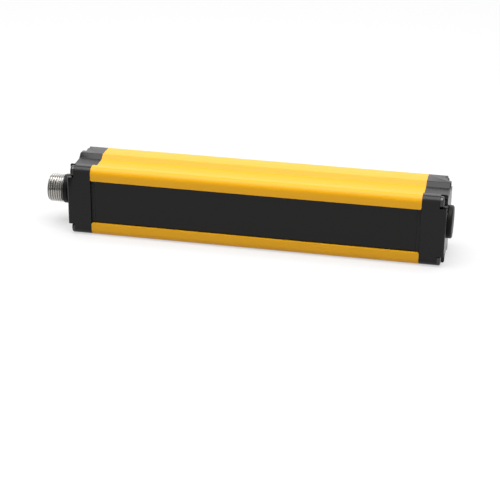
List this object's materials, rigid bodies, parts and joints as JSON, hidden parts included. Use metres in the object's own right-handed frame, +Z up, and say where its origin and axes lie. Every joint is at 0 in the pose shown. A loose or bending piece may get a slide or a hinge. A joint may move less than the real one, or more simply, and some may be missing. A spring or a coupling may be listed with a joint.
{
  "type": "safety light curtain",
  "caption": "Compact safety light curtain bar: yellow extruded profile, dark front window, black screwed end caps and a threaded round plug at one end.",
  "frame": {"origin": "middle of the bar's box, at the height of the surface that it lies on", "axes": "+X along the bar away from the plug, +Y from the window to the back, +Z up from the flank that it lies on"},
  "size_m": [0.172, 0.0274, 0.03],
  "materials": {
    "yellow_coat": "satin, coloured coating on an extruded profile",
    "cap_black": "fine satin moulding",
    "window_dark": "polished, passes infrared",
    "black_rubber": "matt",
    "brass": "bright",
    "nickel": "nickel plate, bright",
    "dark_steel": "black nickel plate",
    "plug_black": "smooth moulding",
    "carrier_black": "matt, keeps stray light down",
    "lens_clear": "clear acrylic",
    "emitter_clear": "clear, faint blue",
    "board_green": "solder mask",
    "package_black": "moulded package",
    "can_silver": "drawn can",
    "gold": "gold plate"
  },
  "bodies": {
    "root": {"housing_profile": "yellow_coat", "front_window": "window_dark", "window_seal_upper": "black_rubber", "window_seal_lower": "black_rubber", "window_end_left": "black_rubber", "window_end_right": "black_rubber", "plug_body": "plug_black", "plug_sleeve": "nickel", "pin_block": "plug_black", "contact_pins": "gold", "plug_ring": "black_rubber", "plug_nut": "nickel", "blanking_plug": "plug_black", "blank_ring": "black_rubber", "blank_nut": "nickel", "optics_carrier": "carrier_black", "aperture_mask": "carrier_black", "lens_bar": "lens_clear", "emitters": "emitter_clear", "main_board": "board_green", "plug_board": "board_green", "header_strip": "package_black", "header_pins": "gold", "processor": "package_black", "beam_drivers": "package_black", "capacitors": "can_silver", "status_lamps": "emitter_clear", "light_guide": "lens_clear", "left_end_cap": "cap_black", "left_cap_gasket": "black_rubber", "left_cap_screws": "dark_steel", "left_rear_insert": "brass", "left_front_insert": "brass", "left_carrier_pads": "black_rubber", "right_end_cap": "cap_black", "right_cap_gasket": "black_rubber", "right_cap_screws": "dark_steel", "right_rear_insert": "brass", "right_front_insert": "brass", "right_carrier_pads": "black_rubber"}
  },
  "joints": []
}
